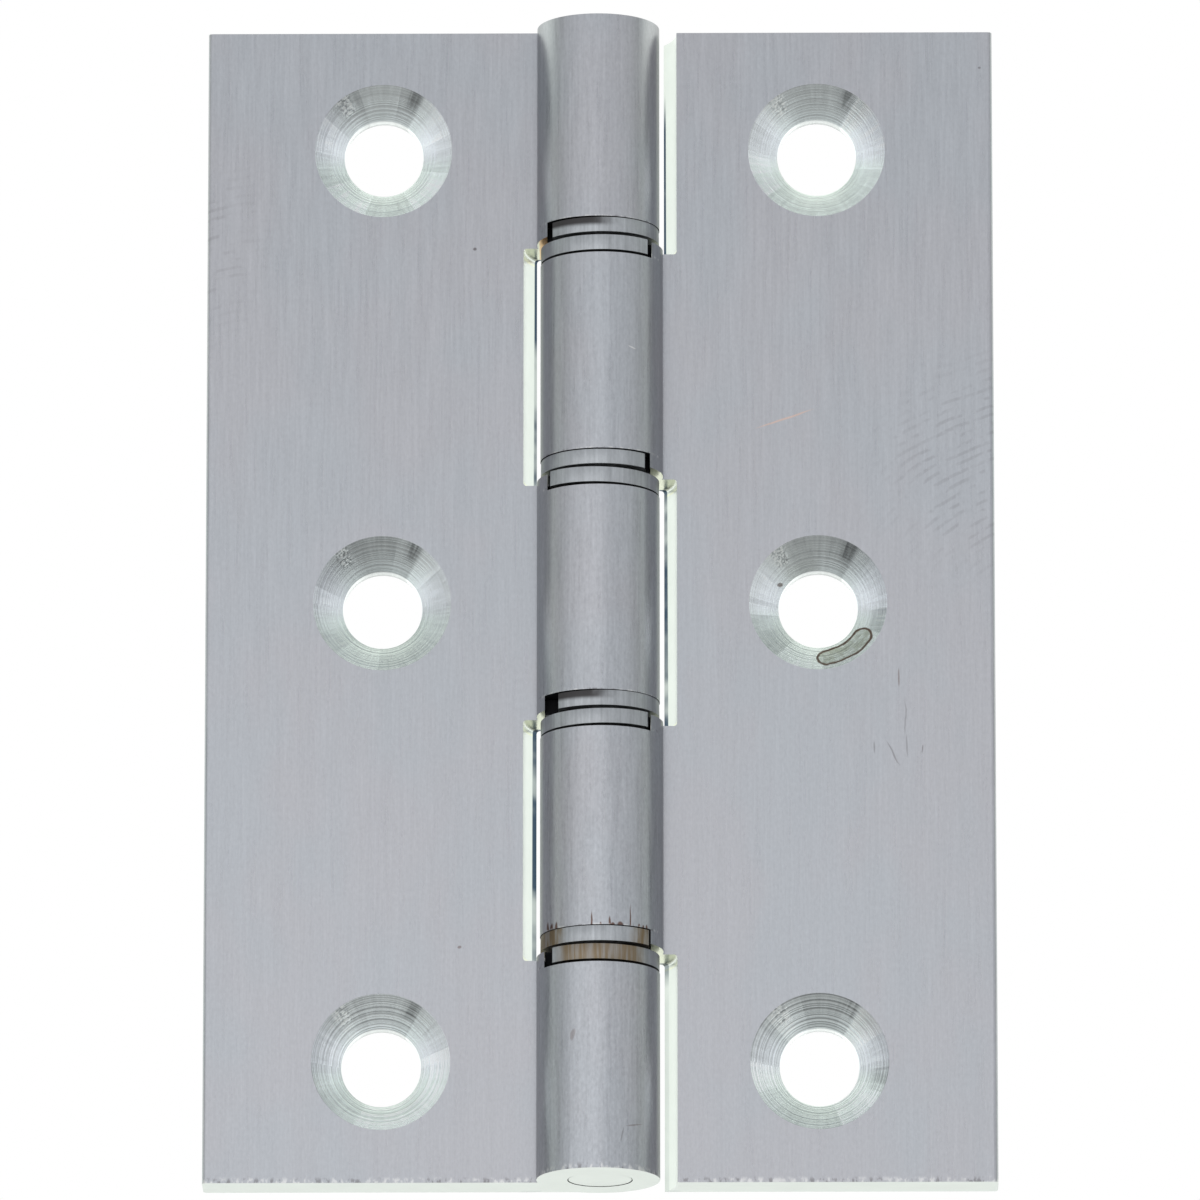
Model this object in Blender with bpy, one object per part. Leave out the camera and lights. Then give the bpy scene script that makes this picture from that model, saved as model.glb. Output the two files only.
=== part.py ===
"""Double-washered butt hinge, opened flat, as separate closed solids.

Metres.  +Z runs along the pin, +X to the right leaf, -Y is the countersunk side.
The origin is the middle of the pin, which is the hinge axis.
"""
import math

import bmesh
import bpy

MM = 0.001

# overall sizes
HEIGHT = 76.2 * MM            # length of both leaves along the pin
OPEN_WIDTH = 50.8 * MM        # edge to edge with the leaves flat
LEAF_THICKNESS = 3.0 * MM
KNUCKLE_RADIUS = 3.95 * MM
BACK_STEP = 0.25 * MM         # knuckle stands this far behind the back of the leaves
EDGE_ROUND = 0.3 * MM         # long outer edges of a leaf

# five knuckles, numbered from the top; the end ones take what these two leave
MIDDLE_KNUCKLE = 15.94 * MM
SECOND_KNUCKLE = 15.44 * MM
ROOT_CLEARANCE = 0.2 * MM     # leaf metal stays this far from a joint's middle
NOTCH_CLEARANCE = 1.0 * MM    # milled clearance arc, wider than the knuckle by this
NOTCH_SETBACK = 0.95 * MM     # centre of that arc behind the pin axis

# washers, one let into each knuckle end that meets another
WASHER_GAP = 0.15 * MM        # washer face to the joint's middle
WASHER_THICKNESS = 0.94 * MM
WASHER_SEAT = 0.05 * MM       # washer to the floor of its rebate
REBATE_INSET = 0.6 * MM       # rebate wall inside the knuckle's outline, leaf side
WASHER_FLAT_GAP = 0.2 * MM    # washer's flat to that wall

# pin
PIN_RADIUS = 2.03 * MM
PIN_RECESS = 0.1 * MM         # pin end inside the end of the knuckle
PIN_CHAMFER = 0.15 * MM
BORE_CLEARANCE = 0.07 * MM    # all round the pin, in the knuckles
WASHER_CLEARANCE = 0.15 * MM  # all round the pin, in the washers

# countersunk screw holes, three in each leaf
HOLE_FROM_EDGE = 11.37 * MM   # hole centre from the leaf's long outer edge
HOLE_FROM_END = 7.9 * MM      # outer hole centres from the leaf's ends
HOLE_RADIUS = 2.56 * MM
SINK_RADIUS = 4.45 * MM
SINK_ANGLE = 90.0             # degrees, full angle of the cone

ROUND_STEPS = 56
HOLE_STEPS = 40
OVERCUT = 1.0 * MM            # how far a cutter runs past the metal

for old in list(bpy.data.objects):
    bpy.data.objects.remove(old, do_unlink=True)


def metal(name, colour, roughness):
    """A named Principled material."""
    mat = bpy.data.materials.new(name)
    mat.use_nodes = True
    shader = mat.node_tree.nodes["Principled BSDF"]
    shader.inputs["Base Color"].default_value = (*colour, 1.0)
    shader.inputs["Roughness"].default_value = roughness
    shader.inputs["Metallic"].default_value = 1.0
    return mat


SATIN_LEAF = metal("satin_chrome", (0.60, 0.61, 0.63), 0.38)
PIN_STEEL = metal("plated_pin", (0.72, 0.73, 0.72), 0.28)
WASHER_STEEL = metal("washer_steel", (0.50, 0.50, 0.50), 0.42)


def prism(name, outline, low, high, material=None):
    """Solid from a counter-clockwise XY outline, from height low to high."""
    mesh = bpy.data.meshes.new(name)
    bm = bmesh.new()
    base = bm.faces.new([bm.verts.new((x, y, low)) for x, y in outline])
    grown = bmesh.ops.extrude_face_region(bm, geom=[base])
    lifted = [v for v in grown["geom"] if isinstance(v, bmesh.types.BMVert)]
    bmesh.ops.translate(bm, verts=lifted, vec=(0.0, 0.0, high - low))
    bmesh.ops.recalc_face_normals(bm, faces=bm.faces[:])
    bm.to_mesh(mesh)
    bm.free()
    obj = bpy.data.objects.new(name, mesh)
    bpy.context.collection.objects.link(obj)
    if material:
        mesh.materials.append(material)
    return obj


def lathe(name, profile, centre, axis, steps, material=None):
    """Solid of revolution: (radius, distance) pairs along 'Y' or 'Z' from centre."""
    mesh = bpy.data.meshes.new(name)
    bm = bmesh.new()
    rings = []
    for radius, along in profile:
        ring = []
        for i in range(steps):
            turn = 2.0 * math.pi * (i + 0.5) / steps
            a, b = radius * math.cos(turn), radius * math.sin(turn)
            place = (a, along, b) if axis == "Y" else (a, b, along)
            ring.append(bm.verts.new([c + p for c, p in zip(centre, place)]))
        rings.append(ring)
    for lower, upper in zip(rings, rings[1:]):
        for i in range(steps):
            j = (i + 1) % steps
            bm.faces.new((lower[i], lower[j], upper[j], upper[i]))
    bm.faces.new(rings[0])
    bm.faces.new(rings[-1])
    bmesh.ops.recalc_face_normals(bm, faces=bm.faces[:])
    bm.to_mesh(mesh)
    bm.free()
    obj = bpy.data.objects.new(name, mesh)
    bpy.context.collection.objects.link(obj)
    if material:
        mesh.materials.append(material)
    return obj


def smooth(obj):
    """Shade the round faces smooth and keep the edges crisp."""
    obj.data.shade_smooth()
    obj.data.set_sharp_from_angle(angle=math.radians(25.0))


def cut(target, cutters):
    """Take each cutter away from target, then shade its round faces smooth."""
    for cutter in cutters:
        step = target.modifiers.new(cutter.name, "BOOLEAN")
        step.operation = "DIFFERENCE"
        step.solver = "EXACT"
        step.object = cutter
    graph = bpy.context.evaluated_depsgraph_get()
    target.data = bpy.data.meshes.new_from_object(target.evaluated_get(graph))
    target.modifiers.clear()
    for cutter in cutters:
        bpy.data.objects.remove(cutter, do_unlink=True)
    smooth(target)


def arc(radius, start, stop, steps, x=0.0, y=0.0):
    """Points on an arc in XY, angles in radians, both ends included."""
    turns = [start + (stop - start) * i / steps for i in range(steps + 1)]
    return [(x + radius * math.cos(t), y + radius * math.sin(t)) for t in turns]


# places that follow from the sizes
BACK_Y = KNUCKLE_RADIUS - BACK_STEP
FACE_Y = BACK_Y - LEAF_THICKNESS
LEAF_EDGE = OPEN_WIDTH / 2.0
LEAF_END = HEIGHT / 2.0
INNER_JOINT = MIDDLE_KNUCKLE / 2.0
OUTER_JOINT = INNER_JOINT + SECOND_KNUCKLE
JOINTS = [OUTER_JOINT, INNER_JOINT, -INNER_JOINT, -OUTER_JOINT]
KNUCKLE_ENDS = [LEAF_END + OVERCUT, *JOINTS, -LEAF_END - OVERCUT]
NOTCH_RADIUS = KNUCKLE_RADIUS + NOTCH_CLEARANCE
REBATE_WALL = KNUCKLE_RADIUS - REBATE_INSET
REBATE_DEPTH = WASHER_GAP + WASHER_THICKNESS + WASHER_SEAT
WASHER_FLAT = REBATE_WALL - WASHER_FLAT_GAP
BORE_RADIUS = PIN_RADIUS + BORE_CLEARANCE
WASHER_BORE_RADIUS = PIN_RADIUS + WASHER_CLEARANCE
HOLE_X = LEAF_EDGE - HOLE_FROM_EDGE
HOLE_HEIGHTS = [LEAF_END - HOLE_FROM_END, 0.0, HOLE_FROM_END - LEAF_END]

# the drawn section of the right leaf: a plate running into a round knuckle
meet_front = math.asin(FACE_Y / KNUCKLE_RADIUS)
meet_back = math.asin(BACK_Y / KNUCKLE_RADIUS)
section = arc(KNUCKLE_RADIUS, meet_back, 2.0 * math.pi + meet_front, ROUND_STEPS)
section += arc(EDGE_ROUND, -0.5 * math.pi, 0.0, 4, LEAF_EDGE - EDGE_ROUND, FACE_Y + EDGE_ROUND)
section += arc(EDGE_ROUND, 0.0, 0.5 * math.pi, 4, LEAF_EDGE - EDGE_ROUND, BACK_Y - EDGE_ROUND)

# the milled notch: a rounded wall in the plate and everything on the knuckle side of it
notch_top = math.asin((BACK_Y + OVERCUT - NOTCH_SETBACK) / NOTCH_RADIUS)
notch = arc(NOTCH_RADIUS, 0.0, notch_top, 10, 0.0, NOTCH_SETBACK)
notch += [(-NOTCH_RADIUS, BACK_Y + OVERCUT), (-NOTCH_RADIUS, -NOTCH_RADIUS)]
notch += [(NOTCH_RADIUS, -NOTCH_RADIUS)]

# the rebate lets a washer in from the free side of a knuckle
rebate = [(-NOTCH_RADIUS, -NOTCH_RADIUS), (REBATE_WALL, -NOTCH_RADIUS)]
rebate += [(REBATE_WALL, NOTCH_RADIUS), (-NOTCH_RADIUS, NOTCH_RADIUS)]

# a washer is a disc flush with the knuckle, with one flat against the rebate wall
flat_turn = math.acos(WASHER_FLAT / KNUCKLE_RADIUS)
disc = arc(KNUCKLE_RADIUS, flat_turn, 2.0 * math.pi - flat_turn, ROUND_STEPS)

# the countersunk hole, as radius and distance from the pin's plane
flare = math.tan(math.radians(SINK_ANGLE / 2.0))
screw_hole = [
    (SINK_RADIUS + OVERCUT * flare, FACE_Y - OVERCUT),
    (HOLE_RADIUS, FACE_Y + (SINK_RADIUS - HOLE_RADIUS) / flare),
    (HOLE_RADIUS, BACK_Y + OVERCUT),
]
bore = [(BORE_RADIUS, -LEAF_END - OVERCUT), (BORE_RADIUS, LEAF_END + OVERCUT)]


def for_side(outline, side):
    """The outline of the right leaf (+1), or its mirror for the left leaf (-1)."""
    return outline if side > 0 else [(-x, y) for x, y in reversed(outline)]


def make_leaf(name, side, own_knuckles):
    """One leaf with its knuckles, notches, washer rebates, bore and screw holes."""
    leaf = prism(name, for_side(section, side), -LEAF_END, LEAF_END, SATIN_LEAF)
    cutters = []
    for row, (top, low) in enumerate(zip(KNUCKLE_ENDS, KNUCKLE_ENDS[1:])):
        if row not in own_knuckles:
            outline = for_side(notch, side)
            cutters.append(prism("notch", outline, low - ROOT_CLEARANCE, top + ROOT_CLEARANCE))
            continue
        outline = for_side(rebate, side)
        if top in JOINTS:
            cutters.append(prism("rebate", outline, top - REBATE_DEPTH, top))
        if low in JOINTS:
            cutters.append(prism("rebate", outline, low, low + REBATE_DEPTH))
    cutters.append(lathe("bore", bore, (0.0, 0.0, 0.0), "Z", HOLE_STEPS))
    for height in HOLE_HEIGHTS:
        cutters.append(lathe("hole", screw_hole, (side * HOLE_X, 0.0, height), "Y", HOLE_STEPS))
    cut(leaf, cutters)


def make_pin():
    """The plain pin, a little short of the knuckle ends."""
    end = LEAF_END - PIN_RECESS
    profile = [
        (PIN_RADIUS - PIN_CHAMFER, -end), (PIN_RADIUS, PIN_CHAMFER - end),
        (PIN_RADIUS, end - PIN_CHAMFER), (PIN_RADIUS - PIN_CHAMFER, end),
    ]
    smooth(lathe("hinge_pin", profile, (0.0, 0.0, 0.0), "Z", HOLE_STEPS, PIN_STEEL))


def make_washer(name, side, middle, up):
    """A washer keyed to the leaf on this side, above (+1) or below (-1) the joint."""
    faces = sorted(middle + up * d for d in (WASHER_GAP, WASHER_GAP + WASHER_THICKNESS))
    washer = prism(name, for_side(disc, side), *faces, WASHER_STEEL)
    hole = [(WASHER_BORE_RADIUS, faces[0] - OVERCUT), (WASHER_BORE_RADIUS, faces[1] + OVERCUT)]
    cut(washer, [lathe("bore", hole, (0.0, 0.0, 0.0), "Z", HOLE_STEPS)])


make_leaf("left_leaf", -1, (0, 2, 4))
make_leaf("right_leaf", 1, (1, 3))
make_pin()
for number, middle in enumerate(JOINTS, 1):
    # the left leaf's knuckle is above joints 1 and 3, and below joints 2 and 4
    left_up = 1 if number % 2 else -1
    make_washer(f"washer_{number}_left", -1, middle, left_up)
    make_washer(f"washer_{number}_right", 1, middle, -left_up)
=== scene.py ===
import math

import bmesh
import bpy
from mathutils import Matrix, Vector


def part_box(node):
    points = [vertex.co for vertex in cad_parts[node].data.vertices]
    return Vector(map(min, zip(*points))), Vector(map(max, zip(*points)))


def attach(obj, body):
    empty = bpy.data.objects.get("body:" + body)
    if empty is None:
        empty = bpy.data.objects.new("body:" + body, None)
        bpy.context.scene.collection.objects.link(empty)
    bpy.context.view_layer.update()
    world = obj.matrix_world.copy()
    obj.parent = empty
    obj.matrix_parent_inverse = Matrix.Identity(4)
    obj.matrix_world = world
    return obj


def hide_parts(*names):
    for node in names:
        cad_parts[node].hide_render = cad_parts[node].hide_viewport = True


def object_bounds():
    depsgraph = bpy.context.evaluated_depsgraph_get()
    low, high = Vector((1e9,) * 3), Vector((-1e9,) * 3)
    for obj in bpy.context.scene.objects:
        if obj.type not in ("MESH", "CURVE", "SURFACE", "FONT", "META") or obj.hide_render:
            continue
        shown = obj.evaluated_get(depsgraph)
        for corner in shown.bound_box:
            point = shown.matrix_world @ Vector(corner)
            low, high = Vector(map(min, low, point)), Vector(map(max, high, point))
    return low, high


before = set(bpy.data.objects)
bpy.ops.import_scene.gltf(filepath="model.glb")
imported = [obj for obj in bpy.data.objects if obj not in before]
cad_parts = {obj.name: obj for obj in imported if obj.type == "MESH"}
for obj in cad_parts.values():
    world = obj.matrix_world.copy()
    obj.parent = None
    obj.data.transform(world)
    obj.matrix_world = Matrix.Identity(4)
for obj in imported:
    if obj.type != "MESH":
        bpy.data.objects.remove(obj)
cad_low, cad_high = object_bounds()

MM = 0.001

# ---------------------------------------------------------------- leaves
# Two leaves of drawn brass section, a 3 mm plate running into a round barrel.
# Each is milled away where the other's knuckles stand, bored for the pin and
# countersunk for three screws, then chrome plated and brushed along the pin.

LEAF_THICKNESS = 3.0 * MM
KNUCKLE_RADIUS = 3.95 * MM
BACK_STEP = 0.25 * MM          # the barrel stands this far behind the plate
LONG_EDGE_ROUND = 0.3 * MM
EDGE_BREAK = 0.07 * MM         # every other outside edge, taken off by the brushing
NOTCH_RADIUS = 4.95 * MM       # cutter that clears the other leaf's knuckles
NOTCH_SETBACK = 0.95 * MM      # its centre behind the pin
CUTTER_ROUND = 0.20 * MM       # corner of that cutter
ROOT_CLEARANCE = 0.2 * MM      # plate metal left clear of a joint's middle
BARREL_SHIFT = 0.11 * MM       # the bore runs this far off the barrel's middle
REBATE_DEPTH = 1.14 * MM       # seat for a washer, open on the free side
REBATE_SLACK = 0.12 * MM       # seats that look up are cut this much deeper
BORE_RADIUS = 2.08 * MM
HOLE_FROM_EDGE = 11.37 * MM
HOLE_PITCH = 30.2 * MM
HOLE_RADIUS = 2.56 * MM
SINK_RADIUS = 4.45 * MM
OVERCUT = 1.0 * MM             # cutters run this far past the metal
WELD = 0.001 * MM              # doubles closer than this are merged
BARREL_STEPS = 144
HOLE_STEPS = 96
# wall of each joint's seat from the pin's axis, from the top joint down (mm)
SEAT_WALLS = {-1: (3.38, 3.36, 3.52, 3.54), 1: (3.36, 3.24, 3.28, 3.26)}

BACK_Y = KNUCKLE_RADIUS - BACK_STEP
FACE_Y = BACK_Y - LEAF_THICKNESS
LEAF_END = cad_high.z
LEAF_EDGE = cad_high.x
HOLE_X = LEAF_EDGE - HOLE_FROM_EDGE

# a joint's middle is halfway between its two washers
JOINTS = []
for number in (1, 2, 3, 4):
    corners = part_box(f"washer_{number}_left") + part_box(f"washer_{number}_right")
    JOINTS.append(sum(corner.z for corner in corners) / 4.0)

SATIN = (0.497, 0.511, 0.535)
SATIN_WARM = (0.509, 0.508, 0.529)
MILLED = (0.72, 0.75, 0.72)
ROOT_TINT = (0.80, 0.82, 0.64)
BARE_BRASS = (0.62, 0.36, 0.10)
# painted dark reflection of the barrel, along the back of the slot walls
PAINTED_DARK_REFLECTION = (0.02, 0.05, 0.09)
TURNED = (0.84, 0.86, 0.875)
# painted reflection tint for the lower half of each countersink
TURNED_LOW_REFLECTION = (0.83, 0.89, 0.855)
DRIED_RIM = (0.085, 0.035, 0.012)
DRIED_FILM = (0.42, 0.45, 0.37)
COPPER = (0.68, 0.53, 0.47)
RUST = (0.13, 0.055, 0.03)
DIRT = (0.13, 0.11, 0.11)
# bright fleck colour: real burrs, whose brightness is partly a painted glint
FLECK_AND_GLINT = (0.95, 0.93, 0.90)
# painted shade for the washer seats, the bore, and the washers' flats and bores
RECESS_SHADE = (0.012, 0.012, 0.013)
SEEN_ALONG = (0.64, 0.64, 0.64)   # how much of its light a brushed face sends back along itself


def new_group(name, inputs, outputs):
    """An empty shader group; its inputs are numbers or vectors, its outputs numbers."""
    group = bpy.data.node_groups.new(name, "ShaderNodeTree")
    for label, value in inputs.items():
        kind = "NodeSocketVector" if isinstance(value, tuple) else "NodeSocketFloat"
        socket = group.interface.new_socket(label, in_out="INPUT", socket_type=kind)
        socket.default_value = value
    for label in outputs:
        group.interface.new_socket(label, in_out="OUTPUT", socket_type="NodeSocketFloat")
    given = group.nodes.new("NodeGroupInput").outputs
    result = group.nodes.new("NodeGroupOutput").inputs
    return group, given, result


def plug(tree, value, socket):
    """Link an output to a socket, or set the socket's own value."""
    if isinstance(value, bpy.types.NodeSocket):
        tree.links.new(value, socket)
    elif isinstance(value, tuple) and socket.type == "RGBA":
        socket.default_value = (*value, 1.0)
    else:
        socket.default_value = value


def maths(tree, operation, *values):
    """One Math node; each value is a number or an output."""
    node = tree.nodes.new("ShaderNodeMath")
    node.operation = operation
    for value, socket in zip(values, node.inputs):
        plug(tree, value, socket)
    return node.outputs[0]


def product(tree, *values):
    """All the values multiplied together."""
    total = values[0]
    for value in values[1:]:
        total = maths(tree, "MULTIPLY", total, value)
    return total


def ramp(tree, value, low, high, out_low=0.0, out_high=1.0):
    """Map a value smoothly from low..high to out_low..out_high, and hold it there."""
    node = tree.nodes.new("ShaderNodeMapRange")
    node.interpolation_type = "SMOOTHSTEP"
    for setting, socket in zip((value, low, high, out_low, out_high), node.inputs):
        plug(tree, setting, socket)
    return node.outputs[0]


def tint(tree, share, first, second, mode="MIX"):
    """Take a share, from 0 to 1, of the second colour into the first."""
    node = tree.nodes.new("ShaderNodeMix")
    node.data_type = "RGBA"
    node.blend_type = mode
    plug(tree, share, node.inputs["Factor"])
    plug(tree, first, node.inputs[6])
    plug(tree, second, node.inputs[7])
    return node.outputs[2]


def split(tree, vector):
    """The X, Y and Z of a vector."""
    node = tree.nodes.new("ShaderNodeSeparateXYZ")
    tree.links.new(vector, node.inputs[0])
    return node.outputs


def noise(tree, place, scale, detail=2.0, seed=0.0):
    """Noise from 0 to 1 over a place, scaled on each axis, in waves to the metre."""
    mapping = tree.nodes.new("ShaderNodeMapping")
    mapping.inputs["Location"].default_value = (seed, seed * 0.7, seed * 1.3)
    mapping.inputs["Scale"].default_value = scale
    tree.links.new(place, mapping.inputs["Vector"])
    node = tree.nodes.new("ShaderNodeTexNoise")
    node.inputs["Scale"].default_value = 1.0
    node.inputs["Detail"].default_value = detail
    node.inputs["Roughness"].default_value = 0.62
    tree.links.new(mapping.outputs[0], node.inputs["Vector"])
    return node.outputs["Fac"]


def sway(tree, base, wave, amount):
    """Add a wave about a half, times an amount, to a base."""
    return maths(tree, "MULTIPLY_ADD", maths(tree, "SUBTRACT", wave, 0.5), amount, base)


def use_group(tree, group, **settings):
    """Place a shader group, and set or link its inputs by name."""
    node = tree.nodes.new("ShaderNodeGroup")
    node.node_tree = group
    for label, value in settings.items():
        plug(tree, value, node.inputs[label])
    return node.outputs


def new_metal(name, roughness):
    """A metal with its Principled shader and its Object coordinates."""
    metal = bpy.data.materials.new(name)
    metal.use_nodes = True
    tree = metal.node_tree
    shader = tree.nodes["Principled BSDF"].inputs
    shader["Metallic"].default_value = 1.0
    shader["Roughness"].default_value = roughness
    place = tree.nodes.new("ShaderNodeTexCoord").outputs["Object"]
    return metal, tree, shader, place


def emboss(tree, height, depth, normal):
    """Bump from a height that runs from 0 to 1 over a depth in metres."""
    bump = tree.nodes.new("ShaderNodeBump")
    bump.inputs["Strength"].default_value = 1.0
    bump.inputs["Distance"].default_value = depth
    tree.links.new(height, bump.inputs["Height"])
    tree.links.new(bump.outputs[0], normal)


def brushed_grain():
    """Brushing along the pin: fine lines, broader streaks and a cloudy mottle."""
    tree, given, result = new_group(
        "brushed_grain",
        {"Place": (0.0, 0.0, 0.0), "Fine": 0.3, "Broad": 0.1, "Mottle": 0.1},
        ("Tone", "Lines", "Cloud"),
    )
    lines = noise(tree, given["Place"], (5200.0, 5200.0, 240.0), 3.0)
    streaks = noise(tree, given["Place"], (1300.0, 1300.0, 30.0), 2.0, seed=4.0)
    mottle = noise(tree, given["Place"], (6000.0, 6000.0, 3200.0), 3.0, seed=7.0)
    cloud = noise(tree, given["Place"], (160.0, 160.0, 90.0), 2.0, seed=9.0)
    tone = sway(tree, 1.0, lines, given["Fine"])
    tone = sway(tree, tone, streaks, given["Broad"])
    tone = sway(tree, tone, mottle, given["Mottle"])
    tree.links.new(tone, result["Tone"])
    tree.links.new(lines, result["Lines"])
    tree.links.new(cloud, result["Cloud"])
    return tree


def surface_mark():
    """One scratch, streak or spot: 1 along a tapered, slightly wandering line."""
    tree, given, result = new_group(
        "surface_mark",
        {"Place": (0.0, 0.0, 0.0), "Centre": (0.0, 0.0, 0.0), "Turn": 0.0,
         "Length": MM, "Width": 0.1 * MM, "Wander": 0.0},
        ("Mask",),
    )
    away = tree.nodes.new("ShaderNodeVectorMath")
    away.operation = "SUBTRACT"
    tree.links.new(given["Place"], away.inputs[0])
    tree.links.new(given["Centre"], away.inputs[1])
    turned = tree.nodes.new("ShaderNodeVectorRotate")
    turned.rotation_type = "Y_AXIS"
    tree.links.new(away.outputs[0], turned.inputs["Vector"])
    tree.links.new(given["Turn"], turned.inputs["Angle"])
    line = split(tree, turned.outputs[0])
    wave = noise(tree, given["Place"], (1100.0,) * 3, 1.0)
    across = sway(tree, line["Z"], wave, given["Wander"])
    along = maths(tree, "DIVIDE", maths(tree, "MULTIPLY", line["X"], 2.0), given["Length"])
    across = maths(tree, "DIVIDE", maths(tree, "MULTIPLY", across, 2.0), given["Width"])
    reach = maths(tree, "ADD", product(tree, along, along), product(tree, across, across))
    tree.links.new(ramp(tree, reach, 1.1, 0.3), result["Mask"])
    return tree


def finger_smudge():
    """A finger's print: broken ridges curved about a centre, fading from its middle."""
    tree, given, result = new_group(
        "finger_smudge",
        {"Place": (0.0, 0.0, 0.0), "Middle": (0.0, 0.0, 0.0), "Centre": (0.0, 0.0, 0.0),
         "Spacing": MM, "Reach": 8.0 * MM},
        ("Mask",),
    )
    away = {}
    for label in ("Middle", "Centre"):
        node = tree.nodes.new("ShaderNodeVectorMath")
        node.operation = "DISTANCE"
        tree.links.new(given["Place"], node.inputs[0])
        tree.links.new(given[label], node.inputs[1])
        away[label] = node.outputs["Value"]
    distance = sway(tree, away["Centre"], noise(tree, given["Place"], (200.0,) * 3, 1.0), 0.8 * MM)
    turns = maths(tree, "DIVIDE", maths(tree, "MULTIPLY", distance, 2.0 * math.pi), given["Spacing"])
    ridge = ramp(tree, maths(tree, "SINE", turns), 0.0, 0.9)
    broken = ramp(tree, noise(tree, given["Place"], (900.0,) * 3, 2.0, seed=3.0), 0.46, 0.60)
    fade = maths(tree, "MINIMUM", ramp(tree, away["Middle"], given["Reach"], 0.0, 0.0, 1.8), 1.0)
    tree.links.new(product(tree, ridge, broken, fade), result["Mask"])
    return tree


# round each countersink, angles run from +X towards +Z
RING_WAVES = 9200.0                     # to the metre of radius
RING_SPIRAL = 0.12                      # waves gained in a radian
SECTORS = 1.35                          # to the radian
BRIGHT_MIDDLE = math.radians(27.0)      # a sector that catches the light
SHADE_RIGHT = math.radians(54.0)        # a painted shade sector lies from here to there,
SHADE_LEFT = math.radians(128.0)        # with a darker band at its right edge and painted burr glints at its left
GOUGE_MIDDLE = math.radians(-16.0)      # it bit in here, in the right leaf's two lower holes


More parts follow.
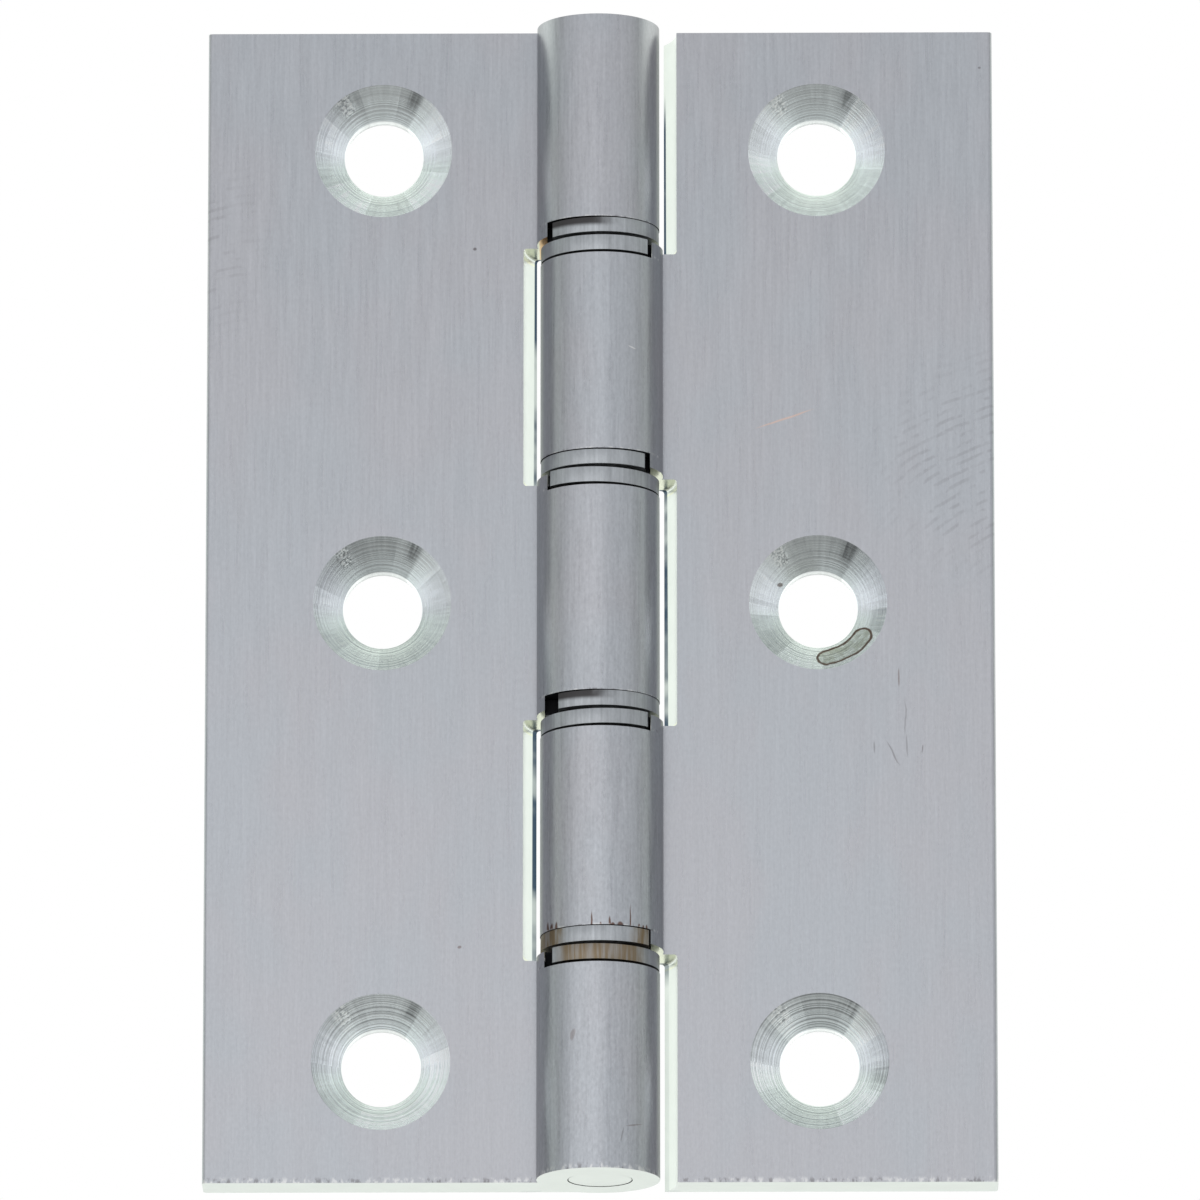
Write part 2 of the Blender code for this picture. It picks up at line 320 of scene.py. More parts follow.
def turned_rings():
    """What a countersinking drill leaves: rings, chattered sectors and burrs, under a painted highlight,
    painted shade and painted glints.
    """
    tree, given, result = new_group(
        "turned_rings",
        {"Place": (0.0, 0.0, 0.0), "Across": HOLE_X, "Pitch": HOLE_PITCH,
         "Bore": HOLE_RADIUS, "Rim": SINK_RADIUS},
        ("Tone", "Rings", "Radius", "Angle", "Up"),
    )
    # which hole a point belongs to, and its radius and angle about that hole's axis
    place = split(tree, given["Place"])
    side = maths(tree, "SIGN", place["X"])
    across = maths(tree, "SUBTRACT", place["X"], product(tree, side, given["Across"]))
    half = maths(tree, "MULTIPLY", given["Pitch"], 0.5)
    up = maths(tree, "WRAP", place["Z"], half, maths(tree, "MULTIPLY", half, -1.0))
    row = maths(tree, "ROUND", maths(tree, "DIVIDE", place["Z"], given["Pitch"]))
    seed = product(tree, maths(tree, "MULTIPLY_ADD", side, 3.0, row), 7.31)
    radius = maths(tree, "SQRT", maths(tree, "ADD", product(tree, across, across), product(tree, up, up)))
    angle = maths(tree, "ARCTAN2", up, across)
    share = ramp(tree, radius, given["Bore"], given["Rim"])
    roughly_cut = ramp(tree, row, 0.0, -1.0, 0.3, 1.0)

    def waves(dimensions, socket, value):
        node = tree.nodes.new("ShaderNodeTexNoise")
        node.noise_dimensions = dimensions
        node.inputs["Scale"].default_value = 1.0
        node.inputs["Detail"].default_value = 2.0
        tree.links.new(value, node.inputs[socket])
        return node.outputs["Fac"]

    def unrolled(turned, radius_scale):
        """Waves over the cone laid flat, with its angle along X and its radius along Y."""
        flat = tree.nodes.new("ShaderNodeCombineXYZ")
        tree.links.new(turned, flat.inputs[0])
        tree.links.new(product(tree, radius, radius_scale), flat.inputs[1])
        tree.links.new(seed, flat.inputs[2])
        return waves("3D", "Vector", flat.outputs[0])

    def about(middle, full, none):
        """1 within an angle of the middle, 0 past another."""
        off = maths(tree, "ABSOLUTE", maths(tree, "SUBTRACT", angle, middle))
        return ramp(tree, off, none, full)

    # sectors that the drill left lighter or darker, and the spokes of its chatter
    cell = tree.nodes.new("ShaderNodeTexVoronoi")
    cell.voronoi_dimensions = "1D"
    cell.inputs["Scale"].default_value = 1.0
    tree.links.new(maths(tree, "MULTIPLY_ADD", angle, SECTORS, seed), cell.inputs["W"])
    sector = split(tree, cell.outputs["Color"])["X"]
    chatter = unrolled(maths(tree, "MULTIPLY_ADD", angle, 16.0, seed), 500.0)
    outer = ramp(tree, share, 0.15, 0.6, 0.35, 1.0)
    tone = sway(tree, 1.0, sector, ramp(tree, share, 0.0, 0.5, 0.16, 0.28))
    tone = sway(tree, tone, chatter, product(tree, outer, 0.40))

    # rings on a slow spiral, deepest in the lowest holes and over the top of each
    turn = maths(tree, "MULTIPLY_ADD", angle, RING_SPIRAL, seed)
    spiral = maths(tree, "MULTIPLY_ADD", radius, RING_WAVES, turn)
    rings = ramp(tree, waves("1D", "W", spiral), 0.36, 0.62)
    bright = about(BRIGHT_MIDDLE, math.radians(22.0), math.radians(28.0))
    over_top = ramp(tree, maths(tree, "DIVIDE", up, radius), 0.25, 0.85)
    ring_depth = product(tree, roughly_cut, maths(tree, "MULTIPLY_ADD", over_top, 0.16, 0.28))
    ring_depth = product(tree, ring_depth, maths(tree, "MULTIPLY_ADD", bright, -0.75, 1.0))
    tone = sway(tree, tone, rings, ring_depth)

    # a painted highlight sector and a painted shade sector; the top row is painted brightest
    shade = product(
        tree, ramp(tree, angle, SHADE_RIGHT - 0.05, SHADE_RIGHT + 0.03),
        ramp(tree, angle, SHADE_LEFT + 0.1, SHADE_LEFT - 0.35),
    )
    tone = maths(tree, "SUBTRACT", tone, product(tree, shade, 0.27))
    tone = maths(tree, "MULTIPLY_ADD", bright, 0.09, tone)
    tone = maths(tree, "ADD", tone, ramp(tree, row, 0.0, 1.0, 0.0, 0.06))

    # a darker band at the right edge of the shade, painted burr glints at its left, then the gouge
    corner = product(tree, about(SHADE_RIGHT + 0.12, 0.04, 0.16), ramp(tree, share, 0.25, 0.75))
    corner = product(tree, corner, ramp(tree, chatter, 0.30, 0.62))
    tone = maths(tree, "SUBTRACT", tone, product(tree, corner, 0.45))
    burrs = ramp(tree, unrolled(product(tree, angle, 22.0), 7000.0), 0.40, 0.62)
    # painted glints on the burrs at the left edge of the shade
    burr_glints = product(tree, about(SHADE_LEFT, 0.06, 0.17), ramp(tree, share, 0.35, 0.6), 0.8)
    tone = sway(tree, tone, maths(tree, "ADD", burrs, 0.12), burr_glints)
    lower_right = product(tree, ramp(tree, side, 0.0, 1.0), ramp(tree, row, 1.0, 0.0))
    gouge = product(tree, about(GOUGE_MIDDLE, 0.18, 0.22), lower_right)
    gouge = product(tree, gouge, ramp(tree, share, 0.1, 0.8), ramp(tree, chatter, 0.2, 0.6))
    tone = maths(tree, "SUBTRACT", tone, product(tree, gouge, 0.34))

    tree.links.new(maths(tree, "DIVIDE", up, radius), result["Up"])
    tree.links.new(tone, result["Tone"])
    tree.links.new(rings, result["Rings"])
    tree.links.new(radius, result["Radius"])
    tree.links.new(angle, result["Angle"])
    return tree


GRAIN = brushed_grain()
MARK = surface_mark()
SMUDGE = finger_smudge()
RINGS = turned_rings()

# centre X and Z, length, width, turn in degrees, wander (all in mm), colour, strength
LEAF_MARKS = (
    (11.9, 12.2, 4.2, 0.15, 18.6, 0.10, COPPER, 1.0),
    (19.2, -5.0, 1.4, 0.13, 90.0, 0.10, RUST, 0.45),
    (19.6, -7.6, 2.6, 0.12, 88.0, 0.25, DIRT, 0.30),
    (18.8, -10.0, 2.0, 0.13, 118.0, 0.25, DIRT, 0.42),
    (19.7, -9.5, 1.7, 0.12, 92.0, 0.20, DIRT, 0.32),
    (17.6, -9.6, 0.9, 0.12, 90.0, 0.10, DIRT, 0.40),
    (20.7, -9.7, 0.6, 0.12, 80.0, 0.10, DIRT, 0.45),
    (-8.1, 23.6, 0.28, 0.24, 0.0, 0.05, DIRT, 0.70),
    (-9.0, -22.7, 0.30, 0.22, 20.0, 0.05, RUST, 0.50),
    (24.6, 35.7, 0.22, 0.18, 0.0, 0.05, DIRT, 0.50),
    (2.1, 15.9, 0.60, 0.12, -20.0, 0.05, FLECK_AND_GLINT, 0.50),
    (-1.7, -29.4, 0.90, 0.38, 78.0, 0.20, RUST, 0.32),
    (1.45, -35.9, 1.1, 0.10, 78.0, 0.15, DIRT, 0.40),
    (2.20, -35.2, 1.2, 0.11, 14.0, 0.15, RUST, 0.35),
)
# finger prints on the plate: middle, then what their ridges curve about, X and Z (mm)
SMUDGES = (((25.5, 9.0), (30.0, -5.0)), ((-29.5, 24.0), (-21.0, 8.0)))
RIDGE_SPACING = 0.58 * MM
SMUDGE_REACH = 10.0 * MM
# rust creeping up from the lower end of the fourth knuckle: X, half width, height (mm)
RUST_RUNS = (
    (-3.30, 0.10, 0.65), (-3.05, 0.12, 0.45), (-2.75, 0.10, 0.50), (-0.50, 0.07, 0.95),
    (0.10, 0.08, 0.18), (0.65, 0.09, 0.60), (0.85, 0.15, 0.16), (1.32, 0.22, 0.25),
    (1.97, 0.05, 1.50), (2.54, 0.09, 0.24), (2.80, 0.06, 0.20), (3.00, 0.08, 0.26),
)


def near_joints(tree, height, offset, reach):
    """1 at a distance offset above and below each joint's middle, 0 past reach."""
    nearest = None
    for joint in JOINTS:
        gap = maths(tree, "ABSOLUTE", maths(tree, "SUBTRACT", height, joint))
        gap = maths(tree, "ABSOLUTE", maths(tree, "SUBTRACT", gap, offset))
        nearest = gap if nearest is None else maths(tree, "MINIMUM", nearest, gap)
    return ramp(tree, nearest, reach, 0.0)


def satin_chrome():
    """Brushed plating on the faces and barrels, with its stains and handling marks, and bright flecks at
    the ends that are partly painted glints.
    """
    metal, tree, shader, place = new_metal("satin_chrome", 0.30)
    shader["Specular Tint"].default_value = (*SEEN_ALONG, 1.0)
    xyz = split(tree, place)
    front = ramp(tree, xyz["Y"], 1.3 * MM, 1.1 * MM)
    barrel = ramp(tree, maths(tree, "ABSOLUTE", xyz["X"]), KNUCKLE_RADIUS + 0.03 * MM, KNUCKLE_RADIUS)
    rougher = product(tree, barrel, ramp(tree, xyz["Z"], LEAF_END, -LEAF_END, 0.35, 1.0))
    grain = use_group(
        tree, GRAIN, Place=place,
        Fine=maths(tree, "MULTIPLY_ADD", rougher, 0.12, 0.32),
        Broad=maths(tree, "MULTIPLY_ADD", rougher, 0.03, 0.06),
        Mottle=maths(tree, "MULTIPLY_ADD", rougher, 0.24, 0.24),
    )
    colour = tint(tree, ramp(tree, grain["Cloud"], 0.35, 0.65), SATIN, SATIN_WARM)
    for middle, centre in SMUDGES:
        smudge = use_group(
            tree, SMUDGE, Place=place, Spacing=RIDGE_SPACING, Reach=SMUDGE_REACH,
            Middle=(middle[0] * MM, FACE_Y, middle[1] * MM),
            Centre=(centre[0] * MM, FACE_Y, centre[1] * MM),
        )
        colour = tint(tree, product(tree, smudge["Mask"], front, 0.17), colour, DIRT)
    for x, z, length, width, turn, wander, shade, strength in LEAF_MARKS:
        mark = use_group(
            tree, MARK, Place=place, Centre=(x * MM, 0.0, z * MM), Turn=math.radians(turn),
            Length=length * MM, Width=width * MM, Wander=wander * MM,
        )
        colour = tint(tree, product(tree, mark["Mask"], front, strength), colour, shade)
    base = JOINTS[3] + REBATE_DEPTH
    for x, half_width, height in RUST_RUNS:
        mark = use_group(
            tree, MARK, Place=place, Centre=(x * MM, 0.0, base), Turn=math.pi / 2.0,
            Length=2.0 * height * MM, Width=2.0 * half_width * MM, Wander=0.12 * MM,
        )
        colour = tint(tree, product(tree, mark["Mask"], front, barrel, 0.85), colour, RUST)
    # bright flecks at the lower end and at the barrel's edges by each joint, real burrs with a painted
    # glint on them, and dark pits among them
    speckle = noise(tree, place, (2600.0, 2600.0, 1500.0), 2.0, seed=5.0)
    bottom = ramp(tree, xyz["Z"], 0.45 * MM - LEAF_END, 0.1 * MM - LEAF_END)
    seams = product(tree, barrel, near_joints(tree, xyz["Z"], REBATE_DEPTH, 0.14 * MM))
    ends = maths(tree, "MAXIMUM", bottom, seams)
    flecks_and_glints = product(tree, ramp(tree, speckle, 0.50, 0.64), ends, 0.5)
    pits = product(tree, ramp(tree, speckle, 0.44, 0.36), ends, 0.5)
    colour = tint(tree, flecks_and_glints, colour, FLECK_AND_GLINT)
    colour = tint(tree, pits, colour, DIRT)
    colour = tint(tree, 1.0, colour, grain["Tone"], "MULTIPLY")
    tree.links.new(colour, shader["Base Color"])
    tree.links.new(ramp(tree, grain["Lines"], 0.3, 0.7, 0.27, 0.35), shader["Roughness"])
    emboss(tree, grain["Lines"], 0.005 * MM, shader["Normal"])
    return metal


BRASS_X = -3.62 * MM           # plating worn through beside the first joint
DARK_REFLECTION_WIDTH_TOP = 0.24 * MM     # painted dark reflection along the back of a slot, at the leaf's top
DARK_REFLECTION_WIDTH_LOW = 0.50 * MM     # and by the lowest joint


def milled_edge():
    """Sawn ends and milled walls, paler than the faces, with a painted dark reflection along the back of
    each slot.
    """
    metal, tree, shader, place = new_metal("milled_edge", 0.30)
    xyz = split(tree, place)
    marks = noise(tree, place, (500.0, 500.0, 900.0), 3.0)
    away = maths(tree, "ABSOLUTE", xyz["X"])
    inner = ramp(tree, away, NOTCH_RADIUS + 0.3 * MM, NOTCH_RADIUS)
    root = product(tree, inner, near_joints(tree, xyz["Z"], ROOT_CLEARANCE, 0.12 * MM))
    colour = tint(tree, root, MILLED, ROOT_TINT)
    brass = use_group(
        tree, MARK, Place=place, Centre=(BRASS_X, 0.0, JOINTS[0] + ROOT_CLEARANCE),
        Length=0.7 * MM, Width=0.8 * MM, Wander=0.1 * MM,
    )
    colour = tint(tree, brass["Mask"], colour, BARE_BRASS)
    # the barrel's dark reflection in the back of each slot wall, painted on as a patchy dark line, narrow
    # at the top and wide by the lowest joint
    start = ramp(
        tree, xyz["Z"], LEAF_END, JOINTS[3], BACK_Y - DARK_REFLECTION_WIDTH_TOP, BACK_Y - DARK_REFLECTION_WIDTH_LOW,
    )
    back = product(
        tree, ramp(tree, maths(tree, "SUBTRACT", xyz["Y"], start), 0.0, 0.08 * MM), inner,
        ramp(tree, away, KNUCKLE_RADIUS - 0.2 * MM, KNUCKLE_RADIUS - 0.1 * MM),
        ramp(tree, xyz["Z"], LEAF_END - 3.0 * MM, LEAF_END - 6.0 * MM),
        ramp(tree, xyz["Z"], JOINTS[3] - 1.5 * MM, JOINTS[3], 0.15, 1.0),
    )
    patchy = ramp(tree, noise(tree, place, (60.0, 60.0, 160.0), 3.0, seed=2.0), 0.34, 0.50, 0.35, 1.0)
    colour = tint(tree, product(tree, back, patchy), colour, PAINTED_DARK_REFLECTION)
    colour = tint(tree, 1.0, colour, sway(tree, 1.0, marks, 0.12), "MULTIPLY")
    tree.links.new(colour, shader["Base Color"])
    return metal


# the dried drop of lacquer in the middle hole of the right leaf, a bent sausage
DROP_MIDDLE = math.radians(-58.5)       # its angle about the hole
DROP_BEND = math.radians(22.0)          # it follows the cone this far either way
DROP_RADIUS = 3.48 * MM
DROP_SWING = 3.52 * MM                  # turns the angle past its bend into a length
DROP_HALF_WIDTH = 0.60 * MM
SPOT_X = HOLE_X - 2.45 * MM             # a small dark spot across the hole from it
SPOT_Z = 1.55 * MM


def turned_cone():
    """Countersinks as the drill left them, under painted highlight, shade and reflection, one with a dried
    drop of lacquer in it.
    """
    metal, tree, shader, place = new_metal("turned_cone", 0.24)
    rings = use_group(tree, RINGS, Place=place)
    xyz = split(tree, place)
    # the lower half of each cone painted a greener tint, a painted reflection of the pale surround
    colour = tint(tree, ramp(tree, rings["Up"], 0.05, -0.35), TURNED, TURNED_LOW_REFLECTION)
    colour = tint(tree, 1.0, colour, rings["Tone"], "MULTIPLY")
    turn = maths(tree, "ABSOLUTE", maths(tree, "SUBTRACT", rings["Angle"], DROP_MIDDLE))
    past = maths(tree, "MAXIMUM", maths(tree, "SUBTRACT", turn, DROP_BEND), 0.0)
    past = product(tree, past, DROP_SWING)
    off = maths(tree, "SUBTRACT", rings["Radius"], DROP_RADIUS)
    reach = maths(tree, "SQRT", maths(tree, "ADD", product(tree, past, past), product(tree, off, off)))
    wave = noise(tree, place, (700.0,) * 3, 3.0)
    edge = sway(tree, maths(tree, "SUBTRACT", reach, DROP_HALF_WIDTH), wave, 0.42 * MM)
    only = product(
        tree, ramp(tree, xyz["X"], 0.0, MM),
        ramp(tree, maths(tree, "ABSOLUTE", xyz["Z"]), 9.0 * MM, 8.0 * MM),
    )
    mottle = ramp(tree, noise(tree, place, (1500.0,) * 3, 2.0, seed=2.0), 0.35, 0.65, 0.30, 0.85)
    film = product(tree, ramp(tree, edge, 0.03 * MM, -0.03 * MM), only, mottle)
    rim = product(tree, ramp(tree, maths(tree, "ABSOLUTE", edge), 0.12 * MM, 0.04 * MM), only, 0.92)
    spot = use_group(
        tree, MARK, Place=place, Centre=(SPOT_X, 0.0, SPOT_Z), Turn=0.3,
        Length=0.45 * MM, Width=0.3 * MM, Wander=0.1 * MM,
    )
    colour = tint(tree, film, colour, DRIED_FILM)
    colour = tint(tree, maths(tree, "MAXIMUM", rim, product(tree, spot["Mask"], 0.7)), colour, DRIED_RIM)
    tree.links.new(colour, shader["Base Color"])
    emboss(tree, rings["Rings"], 0.004 * MM, shader["Normal"])
    return metal


def painted_recess_shade():
    """Washer seats and bore, painted near black for the shade that fills these recesses."""
    metal, tree, shader, place = new_metal("painted_recess_shade", 0.6)
    shader["Metallic"].default_value = 0.0
    shader["Specular IOR Level"].default_value = 0.05
    # near-black painted shade, a little uneven
    tone = sway(tree, 1.0, noise(tree, place, (1500.0,) * 3, 3.0), 1.4)
    tree.links.new(tint(tree, 1.0, RECESS_SHADE, tone, "MULTIPLY"), shader["Base Color"])
    return metal


SATIN_METAL = satin_chrome()
MILLED_METAL = milled_edge()
TURNED_METAL = turned_cone()
SHADED_RECESS_METAL = painted_recess_shade()


def solid(name, bm, finish):
    """A mesh object from a bmesh, all of one finish, facing outward."""
    bmesh.ops.recalc_face_normals(bm, faces=bm.faces[:])
    mesh = bpy.data.meshes.new(name)
    bm.to_mesh(mesh)
    bm.free()
    mesh.materials.append(finish)
    piece = bpy.data.objects.new(name, mesh)
    bpy.context.scene.collection.objects.link(piece)
    return piece


def block(name, corner, far, finish):
    """A box between two opposite corners, given in any order."""
    bm = bmesh.new()
    low, high = Vector(map(min, corner, far)), Vector(map(max, corner, far))
    stretch = Matrix.Diagonal((*(high - low), 1.0))
    bmesh.ops.create_cube(bm, size=1.0, matrix=Matrix.Translation((low + high) / 2.0) @ stretch)
    return solid(name, bm, finish)


def rod(name, radius, low, high, steps, finish, across=0.0, setback=0.0):
    """A round bar along Z, its axis moved across in X and set back in Y."""
    bm = bmesh.new()
    bmesh.ops.create_cone(
        bm, cap_ends=True, segments=steps, radius1=radius, radius2=radius, depth=high - low,
        matrix=Matrix.Translation((across, setback, (low + high) / 2.0)),
    )
    return solid(name, bm, finish)


def combine(piece, others, operation):
    """Boolean each of the others into piece, keeping their finishes, and drop them."""
    for other in others:
        step = piece.modifiers.new(other.name, "BOOLEAN")
        step.operation = operation
        step.solver = "EXACT"
        step.material_mode = "TRANSFER"
        step.object = other
    graph = bpy.context.evaluated_depsgraph_get()
    made = bpy.data.meshes.new_from_object(piece.evaluated_get(graph))
    piece.modifiers.clear()
    piece.data = made
    for other in others:
        bpy.data.objects.remove(other, do_unlink=True)
    return piece


def break_edges(piece, width, segments=2):
    """Round every outside edge by a width."""
    bm = bmesh.new()
    bm.from_mesh(piece.data)
    bmesh.ops.remove_doubles(bm, verts=bm.verts[:], dist=WELD)
    bmesh.ops.dissolve_limit(
        bm, angle_limit=math.radians(0.3), verts=bm.verts[:], edges=bm.edges[:], delimit={"MATERIAL"},
    )
    edges = [
        e for e in bm.edges
        if e.is_manifold and e.is_convex and e.calc_face_angle() > math.radians(25.0)
    ]
    bmesh.ops.bevel(
        bm, geom=edges, offset=width, offset_type="OFFSET", segments=segments, profile=0.5,
        affect="EDGES", clamp_overlap=True, material=-1,
    )
    bmesh.ops.recalc_face_normals(bm, faces=bm.faces[:])
    bm.to_mesh(piece.data)
    bm.free()
    return piece


def finish_piece(piece, node, body):
    """Shade the rounds smooth and put the piece in the CAD node's place."""
    piece.data.shade_smooth()
    piece.data.set_sharp_from_angle(angle=math.radians(35.0))
    weighted = piece.modifiers.new("even_normals", "WEIGHTED_NORMAL")
    weighted.keep_sharp = True
    weighted.weight = 100
    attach(piece, body)
    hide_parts(node)


def drill(side, height):
    """The countersinking drill: a profile turned round the hole's own axis."""
    profile = (
        (0.0, FACE_Y - OVERCUT), (SINK_RADIUS + OVERCUT, FACE_Y - OVERCUT),
        (HOLE_RADIUS, FACE_Y + SINK_RADIUS - HOLE_RADIUS), (HOLE_RADIUS, BACK_Y + OVERCUT),
        (0.0, BACK_Y + OVERCUT),
    )
    bm = bmesh.new()
    points = [bm.verts.new((side * HOLE_X + radius, along, height)) for radius, along in profile]
    edges = [bm.edges.new(pair) for pair in zip(points, points[1:])]
    bmesh.ops.spin(
        bm, geom=points + edges, cent=(side * HOLE_X, 0.0, height), axis=(0.0, 1.0, 0.0),
        angle=2.0 * math.pi, steps=HOLE_STEPS, use_merge=True,
    )
    bmesh.ops.remove_doubles(bm, verts=bm.verts[:], dist=WELD)
    return solid("drill", bm, TURNED_METAL)


def notch_cutter(low, high):
    """The round cutter and its straight run to the front, with rounded corners."""
    arc = rod("arc", NOTCH_RADIUS, low, high, BARREL_STEPS, MILLED_METAL, setback=NOTCH_SETBACK)
    corner, far = (-NOTCH_RADIUS, -NOTCH_RADIUS, low), (NOTCH_RADIUS, NOTCH_SETBACK, high)
    run = block("run", corner, far, MILLED_METAL)
    return break_edges(combine(arc, [run], "UNION"), CUTTER_ROUND, 3)


def drawn_bar(name, side):
    """A length of the section: plate with rounded long edges, and barrel."""
    past = LEAF_END + OVERCUT
    plate = block(name, (0.0, FACE_Y, -past), (side * LEAF_EDGE, BACK_Y, past), SATIN_METAL)
    bm = bmesh.new()
    bm.from_mesh(plate.data)
    outer = [
        e for e in bm.edges
        if abs(sum(v.co.x for v in e.verts)) > LEAF_EDGE and e.calc_length() > past
    ]
    bmesh.ops.bevel(
        bm, geom=outer, offset=LONG_EDGE_ROUND, segments=5, profile=0.5, affect="EDGES", material=-1,
    )
    bm.to_mesh(plate.data)
    bm.free()
    barrel = rod("barrel", KNUCKLE_RADIUS, -past, past, BARREL_STEPS, SATIN_METAL, side * BARREL_SHIFT)
    return combine(plate, [barrel], "UNION")


def make_leaf(node, body, side, own_knuckles):
    """One leaf, with every cut that the workshop makes in it."""
    wide = 2.0 * LEAF_EDGE
    cutters = [
        block("saw", (-wide, -wide, end * LEAF_END), (wide, wide, end * 2.0 * LEAF_END), MILLED_METAL)
        for end in (1, -1)
    ]
    ends = [LEAF_END + OVERCUT, *JOINTS, -LEAF_END - OVERCUT]
    for row, (top, low) in enumerate(zip(ends, ends[1:])):
        if row not in own_knuckles:
            cutters.append(notch_cutter(low - ROOT_CLEARANCE, top + ROOT_CLEARANCE))
            continue
        for joint, inward in ((top, -1), (low, 1)):
            if joint in JOINTS:
                wall = SEAT_WALLS[side][JOINTS.index(joint)] * MM
                depth = REBATE_DEPTH + (REBATE_SLACK if inward < 0 else 0.0)
                corner = (side * wall, -NOTCH_RADIUS, joint + inward * depth)
                far = (-side * NOTCH_RADIUS, NOTCH_RADIUS, joint - inward * OVERCUT)
                cutters.append(block("rebate", corner, far, SHADED_RECESS_METAL))
    past = LEAF_END + OVERCUT
    cutters.append(rod("bore", BORE_RADIUS, -past, past, HOLE_STEPS, SHADED_RECESS_METAL))
    cutters += [drill(side, row * HOLE_PITCH) for row in (1, 0, -1)]
    leaf = combine(drawn_bar(node + "_finished", side), cutters, "DIFFERENCE")
    break_edges(leaf, EDGE_BREAK)
    finish_piece(leaf, node, body)


make_leaf("left_leaf", "left", -1, (0, 2, 4))
make_leaf("right_leaf", "right", 1, (1, 3))

# ---------------------------------------------------------------- pin
# One plain plated steel rod through all five knuckles, pressed into the left
# leaf's and ground off level with the barrel at both ends.

PIN_RADIUS = 2.03 * MM
PIN_SHORT = 0.02 * MM
PIN_BREAK = 0.03 * MM

pin_end = LEAF_END - PIN_SHORT
pin = rod("pin_finished", PIN_RADIUS, -pin_end, pin_end, HOLE_STEPS, MILLED_METAL)
finish_piece(break_edges(pin, PIN_BREAK), "hinge_pin", "left")

# ---------------------------------------------------------------- washers
# Eight pressed steel washers in four pairs, each let into the end of a knuckle.
# One flat on the rim stands against the wall of the seat, so it can't turn, and
# each has settled a little askew, close on its round side and open at its flat.

WASHER_BORE = 2.18 * MM
WASHER_PROUD = 0.05 * MM       # each stands this much further into the joint
WASHER_BREAK = 0.07 * MM
WASHER_RIM = 0.03 * MM         # rim inside the barrel's outline
KEY_BACK = -1.3 * MM           # behind this the flat lies close to the wall
STEEL = (0.47, 0.485, 0.50)
# painted shadow, for the washers marked 'shaded'
PAINTED_SHADOW = (0.07, 0.065, 0.065)
TAN = (0.235, 0.17, 0.095)
# flat from the pin's axis (mm), tilt (degrees), and how it has aged; 'shaded' washers carry a painted
# shadow
WASHERS = {
    "washer_1_left": (3.05, 1.0, "shaded"), "washer_1_right": (3.10, 0.2, "clean"),
    "washer_2_left": (3.19, 0.9, "clean"), "washer_2_right": (2.93, 0.5, "clean"),
    "washer_3_left": (2.64, 0.7, "shaded"), "washer_3_right": (3.10, 0.7, "clean"),
    "washer_4_left": (3.02, 0.2, "rusty"), "washer_4_right": (3.15, 0.3, "rusty_ends"),
}


def washer_steel(ageing_and_shadow):
    """Satin steel; some washers carry a painted shadow in the corner by their seat, some are rusty."""
    metal, tree, shader, place = new_metal("washer_steel_" + ageing_and_shadow, 0.38)
    shader["Specular Tint"].default_value = (*SEEN_ALONG, 1.0)
    xyz = split(tree, place)
    grain = use_group(tree, GRAIN, Place=place, Fine=0.6, Broad=0.5, Mottle=0.3)
    colour = tint(tree, 1.0, STEEL, grain["Tone"], "MULTIPLY")
    ragged = noise(tree, place, (900.0, 900.0, 500.0), 3.0, seed=6.0)
    if ageing_and_shadow == "shaded":
        # painted shadow: the upper left of the washer by its seat, darkened with a ragged edge
        shadow_by_seat = ramp(tree, near_joints(tree, xyz["Z"], REBATE_DEPTH, 0.90 * MM), 0.1, 0.6)
        left = ramp(tree, sway(tree, xyz["X"], ragged, 2.4 * MM), 1.6 * MM, -0.9 * MM)
        colour = tint(tree, product(tree, shadow_by_seat, left, 0.97), colour, PAINTED_SHADOW)
    if ageing_and_shadow == "rusty":
        runs = ramp(tree, noise(tree, place, (3600.0, 3600.0, 260.0), 2.0, seed=8.0), 0.34, 0.58, 0.62, 1.0)
        across = sway(tree, maths(tree, "SUBTRACT", xyz["X"], 0.1 * MM), ragged, 1.2 * MM)
        across = maths(tree, "ABSOLUTE", across)
        colour = tint(tree, product(tree, ramp(tree, across, 3.2 * MM, 2.1 * MM), runs, 0.92), colour, TAN)
    if ageing_and_shadow == "rusty_ends":
        runs = ramp(tree, noise(tree, place, (3600.0, 3600.0, 400.0), 2.0, seed=8.0), 0.34, 0.58, 0.60, 1.0)
        across = sway(tree, maths(tree, "ADD", xyz["X"], 0.1 * MM), ragged, 1.0 * MM)
        across = maths(tree, "ABSOLUTE", across)
        colour = tint(tree, product(tree, ramp(tree, across, 1.9 * MM, 2.7 * MM), runs, 0.95), colour, TAN)
    tree.links.new(colour, shader["Base Color"])
    emboss(tree, grain["Lines"], 0.005 * MM, shader["Normal"])
    return metal


STEELS = {ageing_and_shadow: washer_steel(ageing_and_shadow) for ageing_and_shadow in ("clean", "shaded", "rusty", "rusty_ends")}


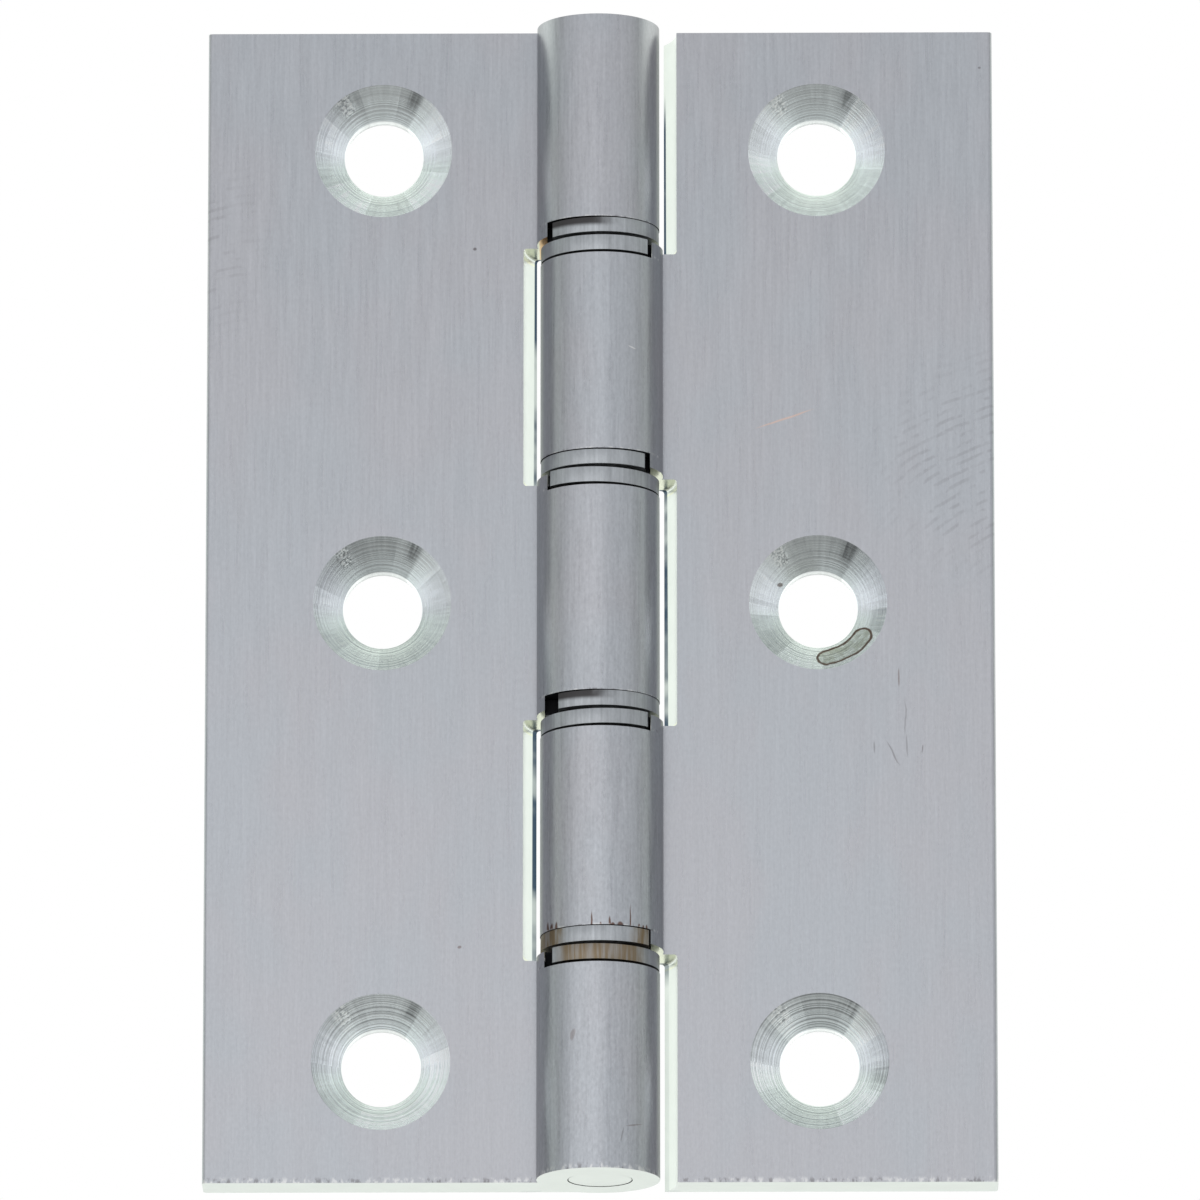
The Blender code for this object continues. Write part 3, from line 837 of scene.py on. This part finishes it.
def make_washer(node, flat, tilt, ageing_and_shadow):
    """A pressed disc, bored, cut to its flat, and tilted towards its open side."""
    side = -1 if node.endswith("left") else 1
    low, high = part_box(node)
    row = min(range(len(JOINTS)), key=lambda number: abs(JOINTS[number] - low.z))
    above = JOINTS[row] < low.z
    base, top = low.z, high.z + WASHER_PROUD
    if above:
        base, top = low.z - WASHER_PROUD, high.z
    radius, shift = KNUCKLE_RADIUS - WASHER_RIM, side * BARREL_SHIFT
    washer = rod(node + "_finished", radius, base, top, BARREL_STEPS, STEELS[ageing_and_shadow], shift)
    wall = side * (SEAT_WALLS[side][row] * MM - WASHER_RIM)
    past = (side * 2.0 * NOTCH_RADIUS, NOTCH_RADIUS, top + OVERCUT)
    deep = (side * 2.0 * NOTCH_RADIUS, KEY_BACK, top + OVERCUT)
    cutters = [
        block("key", (wall, -NOTCH_RADIUS, base - OVERCUT), past, SHADED_RECESS_METAL),
        block("flat", (side * flat * MM, -NOTCH_RADIUS, base - OVERCUT), deep, SHADED_RECESS_METAL),
        rod("bore", WASHER_BORE, base - OVERCUT, top + OVERCUT, HOLE_STEPS, SHADED_RECESS_METAL),
    ]
    combine(washer, cutters, "DIFFERENCE")
    break_edges(washer, WASHER_BREAK)
    lean = math.radians(tilt) * side * (1 if above else -1)
    middle = Matrix.Translation((0.0, 0.0, (base + top) / 2.0))
    washer.data.transform(middle @ Matrix.Rotation(lean, 4, "Y") @ middle.inverted())
    finish_piece(washer, node, "left" if side < 0 else "right")


for node, (flat, tilt, ageing_and_shadow) in WASHERS.items():
    make_washer(node, flat, tilt, ageing_and_shadow)

# ---------------------------------------------------------------- studio
# A pale floor well below the hinge, even soft light that is brightest behind,
# a wide soft card low in front, and a long lens that looks up a little.

FLOOR_DROP = 0.45
FLOOR_SIZE = 2.0
FLOOR_GREY = 0.48
CAMERA_DISTANCE = 1.031
CAMERA_BELOW = math.radians(14.04)
CAMERA_RIGHT = math.radians(0.53)
LENS = 481.1                   # in mm, on a 36 mm sensor
# light from each bearing: how far round to the back it comes from, and its colour
SKY = (
    (0.00, (0.74, 0.76, 0.79)), (0.28, (0.66, 0.68, 0.70)), (0.45, (0.46, 0.48, 0.48)),
    (0.55, (0.80, 0.86, 0.82)), (0.64, (1.20, 1.26, 1.20)), (1.00, (1.20, 1.24, 1.20)),
)
CARD_SIZE = (0.48, 0.34)
CARD_PLACE = (-0.18, -0.30, -0.085)
CARD_POWER = 0.155


def make_floor():
    paint = bpy.data.materials.new("floor_paint")
    paint.use_nodes = True
    shader = paint.node_tree.nodes["Principled BSDF"].inputs
    shader["Base Color"].default_value = (FLOOR_GREY, FLOOR_GREY, FLOOR_GREY, 1.0)
    shader["Roughness"].default_value = 0.9
    bm = bmesh.new()
    bmesh.ops.create_grid(
        bm, x_segments=1, y_segments=1, size=FLOOR_SIZE / 2.0,
        matrix=Matrix.Translation((0.0, 0.0, -FLOOR_DROP)),
    )
    solid("floor", bm, paint)


def make_sky():
    """Soft light by direction, and plain white where the camera sees past the hinge."""
    world = bpy.data.worlds.new("studio")
    world.use_nodes = True
    bpy.context.scene.world = world
    tree = world.node_tree
    bearing = split(tree, tree.nodes.new("ShaderNodeTexCoord").outputs["Generated"])["Y"]
    shades = tree.nodes.new("ShaderNodeValToRGB")
    while len(shades.color_ramp.elements) < len(SKY):
        shades.color_ramp.elements.new(0.5)
    for element, (position, colour) in zip(shades.color_ramp.elements, SKY):
        element.position = position
        element.color = (*colour, 1.0)
    tree.links.new(maths(tree, "MULTIPLY_ADD", bearing, 0.5, 0.5), shades.inputs[0])
    seen = tree.nodes.new("ShaderNodeLightPath").outputs["Is Camera Ray"]
    colour = tint(tree, seen, shades.outputs[0], (1.0, 1.0, 1.0))
    tree.links.new(colour, tree.nodes["Background"].inputs["Color"])


def make_card():
    card = bpy.data.lights.new("soft_card", "AREA")
    card.shape = "RECTANGLE"
    card.size, card.size_y = CARD_SIZE
    card.energy = CARD_POWER
    lamp = bpy.data.objects.new("soft_card", card)
    lamp.location = CARD_PLACE
    lamp.rotation_euler = (math.pi / 2.0, 0.0, 0.0)
    lamp.visible_camera = False
    bpy.context.scene.collection.objects.link(lamp)


def make_camera():
    lens = bpy.data.cameras.new("camera")
    lens.sensor_width = 36.0
    lens.lens = LENS
    lens.clip_start, lens.clip_end = 0.05, 20.0
    camera = bpy.data.objects.new("camera", lens)
    back = Vector((
        math.sin(CAMERA_RIGHT) * math.cos(CAMERA_BELOW),
        -math.cos(CAMERA_RIGHT) * math.cos(CAMERA_BELOW),
        -math.sin(CAMERA_BELOW),
    ))
    camera.location = back * CAMERA_DISTANCE
    camera.rotation_euler = (-back).to_track_quat("-Z", "Y").to_euler()
    bpy.context.scene.collection.objects.link(camera)
    bpy.context.scene.camera = camera


make_floor()
make_sky()
make_card()
make_camera()
bpy.context.scene.view_settings.view_transform = "Standard"
